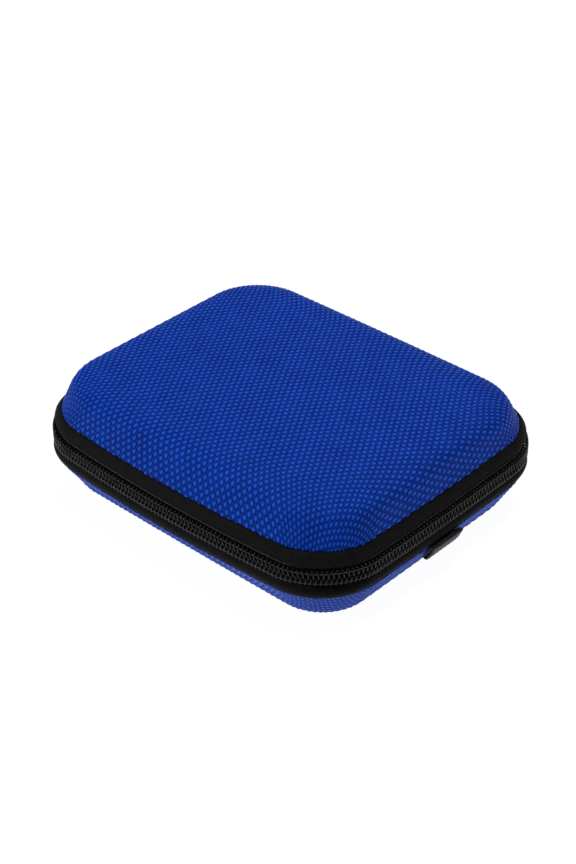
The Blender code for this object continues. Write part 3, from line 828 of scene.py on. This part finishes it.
def coil_lift(xy):
    """How far the slider's wedge parts the coils at each point."""
    away = np.abs(xy[:, 1] - SLIDER_Y - WEDGE_OFFSET)
    share = np.clip((away - WEDGE_FLAT) / (SPREAD_LENGTH - WEDGE_FLAT), 0, 1)
    lift = COIL_SPREAD * (1 + np.cos(math.pi * share)) / 2
    return np.where(xy[:, 0] < 0, lift, 0.0)


def along_zip(shell, step, inset, rise):
    """Points beside the zip, for insets and rises as functions of the distance."""
    xy, outward, _, at = path_round(step)
    flat = xy - outward * inset(at)[:, None]
    return np.column_stack([flat, height(shell, rise(at) + coil_lift(xy))])


def zip_coil(name, shell, phase, material):
    """One row of the zip: a filament helix, its heads reaching over the middle."""
    def turn(at):
        return 2 * math.pi * (at / TOOTH_PITCH + phase)

    def rise(at):
        reach = np.cos(turn(at))
        return COIL_RISE - COIL_HALF_RISE * signed_power(reach, 0.8)

    centres = along_zip(shell, TOOTH_PITCH / COIL_POINTS,
                        lambda at: COIL_DEPTH + COIL_HALF_DEPTH * np.sin(turn(at)), rise)
    return tube(name, centres, FILAMENT_RADIUS, material)


def zip_thread(name, shell, inset, rise, radius, material):
    """Sewing thread along a coil, dipping between its turns."""
    centres = along_zip(shell, THREAD_STEP,
                        lambda at: inset + THREAD_SWAY * np.cos(2 * math.pi * at / TOOTH_PITCH),
                        lambda at: np.full(len(at), rise))
    return tube(name, centres, radius, material)


def lining_cloth(name, shell, material):
    """Lining cloth, moulded to the inside of the shell."""
    outer, inner = shell_sections(shell, LINING_DEPTH)[:-1], shell_sections(shell, LINING_FACE)[:-1]
    rows = [raised(shell, ring, rise) for ring, rise in outer[::-1] + inner]
    return swept(name, rows, material, sharp=60)


def binding(name, shell, material):
    """Binding tape folded round the seam allowance at the lining's rim."""
    face = LINING_FACE + CLEARANCE
    low, high = shell.rim_rise - 1.3 * MM, shell.rim_rise + 1.6 * MM
    section = ((-2.4, low, -0.5), (0.0, low, -0.55), (0.35, low, -0.4), (0.55, low, 0.1),
               (0.50, low, 1.2), (0.58, high, -0.5), (0.40, high, 0.0), (0.05, high, -0.1),
               (0.0, low, 0.5), (-0.15, low, 0.0), (-2.4, low, 0.0))
    rings = []
    for out, level, up in section:
        rise = level + up * MM
        rings.append(raised(shell, wall_ring(shell, face + out * MM, rise), rise))
    return swept(name, np.stack(rings, axis=1), material, closed=True, sharp=40)


def stitch_row(name, shell, material):
    """Row of lock stitches along the binding."""
    rise = shell.rim_rise + STITCH_RISE
    ring = wall_ring(shell, STITCH_DEPTH, rise)
    closed = np.vstack([ring, ring[:1]])
    lengths = distances(closed)
    normals = outward_normals(ring)
    normals = np.vstack([normals, normals[:1]])
    share = np.linspace(0, 1, STITCH_POINTS)
    sink = STITCH_SINK * (1 - np.sin(math.pi * share))
    pieces = []
    for start in np.arange(0, lengths[-1] - STITCH_LENGTH, STITCH_LENGTH + STITCH_GAP):
        at = start + share * STITCH_LENGTH
        xy = at_distances(at, lengths, closed) + at_distances(at, lengths, normals) * sink[:, None]
        pieces.append(raised(shell, xy, rise))
    return joined_tubes(name, pieces, STITCH_RADIUS, material)


def joined_tubes(name, lines, radius, material):
    """Several short tubes as one object."""
    parts = [tube(f"{name}_{index}", line, radius, material, 5) for index, line in enumerate(lines)]
    bm = bmesh.new()
    for part in parts:
        bm.from_mesh(part.data)
        mesh = part.data
        bpy.data.objects.remove(part)
        bpy.data.meshes.remove(mesh)
    mesh = bpy.data.meshes.new(name)
    bm.to_mesh(mesh)
    bm.free()
    return new_object(name, mesh, material)


def hinge_fabric(name, material):
    """Fabric hinge: one strip across the back, from the lid's seam to the base's."""
    x = np.linspace(HINGE_END_X, -HINGE_END_X, HINGE_COLUMNS)
    y = HALF_WIDTH + SIDE_BULGE * (1 - (x / HALF_LENGTH) ** 2)
    top, bottom = LID.rim_rise, -BASE.rim_rise
    under, over = LID.rim_inset, BASE.rim_inset
    outer = [(under + TAPE_ALLOWANCE, top - 0.25 * MM), (under + 0.5 * MM, top - 0.2 * MM),
             (under - 0.25 * MM, top - 0.5 * MM), (1.95 * MM, 4.2 * MM), (1.8 * MM, 2.6 * MM)]
    outer += [(1.85 * MM, rise * MM) for rise in (1.6, 1.1, 0.6, 0.2, -0.2, -0.6, -1.1, -1.6)]
    outer += [(1.7 * MM, -2.6 * MM), (1.35 * MM, -4.2 * MM), (over - 0.2 * MM, bottom + 0.6 * MM),
              (over + 0.5 * MM, bottom + 0.2 * MM), (over + TAPE_ALLOWANCE, bottom + 0.25 * MM)]
    outer = np.array(outer)
    inner = outer - turned_right(np.gradient(outer, axis=0)) * HINGE_THICKNESS
    profile = np.vstack([outer, inner[::-1]])
    columns = [np.column_stack([x, y - inset, np.full(len(x), ZIP_HEIGHT + rise)])
               for inset, rise in profile]
    strip = swept(name, np.stack(columns, axis=1), material, sharp=60)
    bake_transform(strip)
    return strip


# Webbing loop ------------

def loop_line():
    """Middle line of the strap as (inset, rise): down, round the fold, and back up."""
    lean = (1 - SHOULDER_BULGE) * END_BULGE
    down = np.array([BASE.wall_inset_x - BASE.rim_inset + lean, BASE.wall_rise - BASE.rim_rise])
    down /= np.linalg.norm(down)
    out = np.array([-down[1], down[0]])
    root = np.array([BASE.rim_inset, BASE.rim_rise]) + out * (CLEARANCE + LOOP_LEG / 2 + LOOP_FOLD)
    drop = LOOP_DROP - LOOP_FOLD - LOOP_LEG / 2
    line = [root - out * LOOP_FOLD + down * drop * share for share in np.linspace(-0.05, 1, 22)]
    line += [root + down * drop + (-out * math.cos(turn) + down * math.sin(turn)) * LOOP_FOLD
             for turn in np.linspace(0, math.pi, 10)[1:-1]]
    line += [root + out * LOOP_FOLD * (1 - 1.3 * max(0.0, share - 0.5)) + down * drop * (1 - share)
             for share in np.linspace(0, 1.15, 24)]
    return np.array(line)


def webbing_loop(name, material):
    """Strap sewn into the lower seam: two ribbed legs joined by a soft fold."""
    width = LOOP_HIGH.y - LOOP_LOW.y
    middle = (LOOP_HIGH.y + LOOP_LOW.y) / 2
    line = loop_line()
    side = -turned_right(np.gradient(line, axis=0))
    distance = distances(line)
    across = np.concatenate([np.linspace(-1, 1, LOOP_COLUMNS), np.linspace(1, -1, LOOP_COLUMNS)])
    face = np.repeat([1.0, -1.0], LOOP_COLUMNS)
    past = np.maximum(0.0, (np.abs(across) - (1 - LOOP_EDGE)) / LOOP_EDGE)
    edge = np.sqrt(np.maximum(0.0, 1 - past ** 2))
    rows = []
    for point, normal, reach in zip(line, side, distance):
        turn = reach / RIB_PITCH + across * width / RIB_SLANT / 2
        ribs = RIB_HEIGHT * np.sin(2 * math.pi * turn)
        offset = face * (LOOP_LEG / 2 * (0.25 + 0.75 * edge) + ribs * edge)
        inset, rise = (point[i] + normal[i] * offset for i in range(2))
        x, y = HALF_LENGTH + END_BULGE - inset, middle + across * width / 2
        rows.append(np.column_stack([x, y, ZIP_HEIGHT - rise]))
    strap = swept(name, rows, material, sharp=60)
    return strap


# Net pocket ------------

def net_height(x, y):
    """The net sags a little between its hem and the back of the lid."""
    share = np.clip((y - NET_LOW.y) / (NET_HIGH.y - NET_LOW.y), 0, 1)
    sag = NET_SAG * np.sin(math.pi * share) * (1 - (x / NET_HIGH.x) ** 2)
    return (NET_LOW.z + NET_HIGH.z) / 2 - sag


def pocket_net(name, material):
    """Hexagonal net with real strands, cut to the inside of the lid."""
    ring = inset_ring(NET_INSET)
    angles = np.arctan2(ring[:, 1], ring[:, 0])
    order = np.argsort(angles)
    reach = np.hypot(ring[:, 0], ring[:, 1])
    width, depth = NET_CELL * math.sqrt(3), NET_CELL * 1.5
    points, faces = {}, []
    for row in range(int((NET_HIGH.y - NET_LOW.y) / depth) + 1):
        y = NET_LOW.y + NET_CELL + row * depth
        offset = width / 2 * (row % 2)
        for column in range(-NET_COLUMNS, NET_COLUMNS + 1):
            x = column * width + offset
            limit = np.interp(math.atan2(y, x), angles[order], reach[order], period=2 * math.pi)
            if math.hypot(x, y) > limit - NET_CELL:
                continue
            face = []
            for corner in range(6):
                angle = math.pi / 6 + corner * math.pi / 3
                place = (x + NET_CELL * math.cos(angle), y + NET_CELL * math.sin(angle))
                key = (round(place[0] / MM, 2), round(place[1] / MM, 2))
                face.append(points.setdefault(key, (len(points), place))[0])
            faces.append(face)
    flat = np.array([place for _, place in points.values()])
    mesh = mesh_from(name, np.column_stack([flat, net_height(flat[:, 0], flat[:, 1])]), faces)
    net = new_object(name, mesh, material)
    wire = net.modifiers.new("strands", 'WIREFRAME')
    wire.thickness = NET_STRAND
    wire.use_even_offset = False
    wire.use_boundary = True
    apply_modifiers(net)
    width, length = NET_HIGH.x - NET_LOW.x, NET_HIGH.y - NET_LOW.y
    return net


def net_border(name, material):
    """Cord sewn round the net's three fixed sides."""
    ring = inset_ring(BORDER_INSET)
    kept = ring[ring[:, 1] > NET_LOW.y]
    first = int(np.argmin(np.where(kept[:, 0] > 0, kept[:, 1], 1.0)))
    kept = np.vstack([kept[first:], kept[:first]])
    line = np.column_stack([kept, net_height(kept[:, 0], kept[:, 1])])
    return tube(name, line, BORDER_RADIUS, material)


def apply_modifiers(item):
    """Replace an object's mesh with its evaluated mesh."""
    bpy.context.view_layer.update()
    evaluated = item.evaluated_get(bpy.context.evaluated_depsgraph_get())
    mesh = bpy.data.meshes.new_from_object(evaluated)
    item.modifiers.clear()
    item.data = mesh


def elastic_hem(name, material):
    """Elastic hem of the net, gathered in fine ribs."""
    middle_y, half_width = middle_and_half(HEM_LOW.y, HEM_HIGH.y)
    middle_z, half_thick = middle_and_half(HEM_LOW.z, HEM_HIGH.z)
    across, upwards = rounded_section(HEM_CORNERS, 0.5, 0.7)
    rows = []
    for x in np.arange(HEM_LOW.x, HEM_HIGH.x, HEM_STEP):
        pinch = 1 - GATHER_DEPTH * (0.5 + 0.5 * math.sin(2 * math.pi * x / GATHER_PITCH))
        wave = HEM_WAVE * math.sin(2 * math.pi * x / HEM_WAVE_PITCH)
        y = middle_y + across * half_width * (0.98 + 0.02 * pinch) + wave
        z = middle_z + upwards * half_thick * pinch
        rows.append(np.column_stack([np.full(HEM_CORNERS, x), y, z]))
    return swept(name, rows, material, sharp=None)


# Slider and pull ------------

def softened(name, node, width, material):
    """Copy of a hard CAD piece with its edges rounded over."""
    bm = bmesh.new()
    bm.from_mesh(frame["nodes"][node].data)
    bmesh.ops.remove_doubles(bm, verts=bm.verts, dist=WELDED)
    bmesh.ops.dissolve_limit(bm, angle_limit=math.radians(2), verts=bm.verts, edges=bm.edges)
    corners = [edge for edge in bm.edges
               if edge.is_manifold and edge.calc_face_angle() > math.radians(30)]
    bmesh.ops.bevel(bm, geom=corners, offset=width, segments=3, profile=0.5, affect='EDGES',
                    clamp_overlap=True)
    bmesh.ops.triangulate(bm, faces=[face for face in bm.faces if len(face.verts) > 4])
    mesh = bpy.data.meshes.new(name)
    bm.to_mesh(mesh)
    bm.free()
    return new_object(name, mesh, material, sharp=50)


def grip_tab(name, material):
    """Moulded tab with rounded ends and finger ridges."""
    low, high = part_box("pull_tab")
    middle_x, half_x = middle_and_half(low.x, high.x)
    middle, half = middle_and_half(low.y, high.y)
    middle_z, half_z = middle_and_half(low.z, high.z)
    section_x, section_z = rounded_section(TAB_CORNERS, TAB_SQUARENESS, TAB_SQUARENESS)
    rows = []
    for y in np.linspace(-1, 1, TAB_ROWS) * half:
        past = max(0.0, (abs(y) - (half - half_z)) / half_z)
        narrow = max(THINNEST, math.sqrt(max(0.0, 1 - past ** 2.6)))
        thin = max(THINNEST, math.sqrt(max(0.0, 1 - max(0.0, (abs(y) - half + half_x) / half_x) ** 2)))
        grip = max(0.0, 1 - (abs(y + 0.1 * half) / (0.62 * half)) ** 8)
        ridge = 1 - RIDGE_DEPTH * grip * (0.5 - 0.5 * math.cos(2 * math.pi * y / RIDGE_PITCH))
        thick = np.where(np.abs(section_z) < 0.75, ridge, 1.0)
        x = middle_x + section_x * half_x * thin * thick
        z = middle_z + section_z * half_z * narrow
        rows.append(np.column_stack([x, np.full(TAB_CORNERS, middle + y), z]))
    return swept(name, rows, material, sharp=None)


# Camera, light and floor ------------

def look_at(item, back):
    """Turn an object's -Z away from a direction, with its Y up."""
    item.rotation_mode = 'QUATERNION'
    item.rotation_quaternion = (-Vector(back)).to_track_quat('-Z', 'Y')


def add_camera():
    """Camera that looks at the zip's centre."""
    camera = linked("camera", bpy.data.cameras.new("camera"))
    azimuth, elevation = CAMERA_AZIMUTH, CAMERA_ELEVATION
    level = math.cos(elevation)
    back = Vector((math.sin(azimuth) * level, -math.cos(azimuth) * level, math.sin(elevation)))
    right = Vector((math.cos(azimuth), math.sin(azimuth), 0.0))
    up = back.cross(right)
    camera.location = (ZIP_CENTRE + back * CAMERA_DISTANCE
                       + right * CAMERA_SIDEWAYS + up * CAMERA_UPWARDS)
    look_at(camera, back)
    camera.data.lens = CAMERA_LENS
    camera.data.sensor_width = 36.0
    camera.data.clip_start = 0.01
    bpy.context.scene.camera = camera


def add_area_light(name, direction, distance, size, power):
    """Soft box that points at the case."""
    light = linked(name, bpy.data.lights.new(name, 'AREA'))
    light.data.shape = 'RECTANGLE'
    light.data.size, light.data.size_y = size
    light.data.energy = power
    back = Vector(direction).normalized()
    light.location = ZIP_CENTRE + back * distance
    look_at(light, back)


def studio_world():
    """White to the camera and dim to everything else."""
    world = bpy.data.worlds.new("studio")
    world.use_nodes = True
    tree = world.node_tree
    background = tree.nodes["Background"]
    background.inputs["Color"].default_value = (1, 1, 1, 1)
    path = tree.nodes.new("ShaderNodeLightPath")
    strength = tree.nodes.new("ShaderNodeMapRange")
    strength.inputs["To Min"].default_value = WORLD_GLOW
    strength.inputs["To Max"].default_value = 1.0
    tree.links.new(path.outputs["Is Camera Ray"], strength.inputs["Value"])
    tree.links.new(strength.outputs["Result"], background.inputs["Strength"])
    return world


def add_studio():
    """Pale lit table, white surroundings and soft boxes."""
    bpy.context.scene.view_settings.view_transform = 'Standard'
    bpy.context.scene.world = studio_world()
    corners = [(x * FLOOR_REACH, y * FLOOR_REACH, 0) for x, y in ((-1, -1), (1, -1), (1, 1), (-1, 1))]
    floor = new_object("floor", mesh_from("floor", corners, [(0, 1, 2, 3)]), floor_material())
    floor.location.z = -FLOOR_GAP
    for light in SOFT_BOXES:
        add_area_light(*light)


# Assembly ------------

def place(piece, body, slot, *nodes):
    """Give a piece its body, and hide the CAD nodes it stands for. The slot is not used."""
    if body:
        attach(piece, body)
    if nodes:
        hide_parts(*nodes)


def add_half(shell, body, word, part, phase, finishes):
    """Cover, tape, coil, threads, lining and binding of one half."""
    cover = woven_cover(f"{body}_nylon_cover", shell, finishes["nylon"])
    place(cover, body, "blue_nylon", f"{part}_shell_cover")
    tape = zip_tape(f"{body}_tape", shell, finishes["tape"])
    place(tape, body, "zip_tape", f"{word}_zip_tape")
    coil = zip_coil(f"{body}_coil", shell, phase, finishes["coil"])
    place(coil, body, "zip_coil", f"{word}_zip_coil")
    for seam, inset, rise, radius in THREADS:
        thread = zip_thread(f"{body}_{seam}_thread", shell, inset, rise, radius, finishes["thread"])
        place(thread, body, "zip_tape")
    lining = lining_cloth(f"{body}_lining_cloth", shell, finishes["knit"])
    place(lining, body, "lining_fabric", f"{part}_lining")
    edging = binding(f"{body}_binding", shell, finishes["binding"])
    place(edging, body, "binding_tape", f"{word}_binding")
    stitches = stitch_row(f"{body}_binding_stitches", shell, finishes["thread"])
    place(stitches, body, "binding_tape")
    core = frame["nodes"][f"{part}_shell_core"]
    core.data.materials.clear()
    core.data.materials.append(finishes["foam"])


def build_case():
    """Every piece of the case, on its body."""
    finishes = {
        "nylon": nylon_material(),
        "tape": woven_material("black_zip_tape", (0.0025, 0.0025, 0.003),
                               (0.0095, 0.0095, 0.0105), 0.42 * MM, 0.09 * MM),
        "coil": coil_material(),
        "thread": thread_material(),
        "knit": knit_material(),
        "foam": foam_material(),
        "binding": ribbed_material("black_binding_tape", (0.006, 0.006, 0.0065),
                                   (0.026, 0.026, 0.028), 0.6 * MM, 0.06 * MM),
    }
    add_half(LID, "lid", "upper", "top", 0.0, finishes)
    add_half(BASE, "base", "lower", "bottom", 0.5, finishes)
    fabric = woven_material("black_hinge_fabric", (0.005, 0.005, 0.0055),
                            (0.018, 0.018, 0.019), 0.5 * MM, 0.08 * MM)
    hinge = hinge_fabric("hinge_fabric_strip", fabric)
    place(hinge, None, "hinge_fabric", "upper_hinge_panel", "lower_hinge_panel")
    webbing = ribbed_material("black_webbing", (0.005, 0.005, 0.0055),
                              (0.030, 0.030, 0.032), 0.75 * MM, 0.10 * MM)
    place(webbing_loop("side_loop", webbing), "base", "webbing", "webbing_loop")
    net_yarn = net_material()
    place(pocket_net("net_mesh", net_yarn), "lid", "pocket_net", "pocket_net")
    place(net_border("net_border", net_yarn), "lid", "pocket_net")
    elastic = ribbed_material("black_elastic", (0.008, 0.008, 0.009),
                              (0.045, 0.045, 0.048), 0.75 * MM, 0.10 * MM)
    place(elastic_hem("net_hem", elastic), "lid", "elastic", "pocket_elastic")
    metal = painted_metal_material()
    for name, node, body, width in (("slider_shell", "slider_body", "slider", 0.18 * MM),
                                    ("slider_bridge", "slider_bail", "slider", 0.20 * MM),
                                    ("link_plate", "pull_link", "pull", 0.18 * MM)):
        place(softened(name, node, width, metal), body, "slider_metal", node)
    place(grip_tab("grip_tab", plastic_material()), "pull", "pull_rubber", "pull_tab")


add_camera()
add_studio()
build_case()
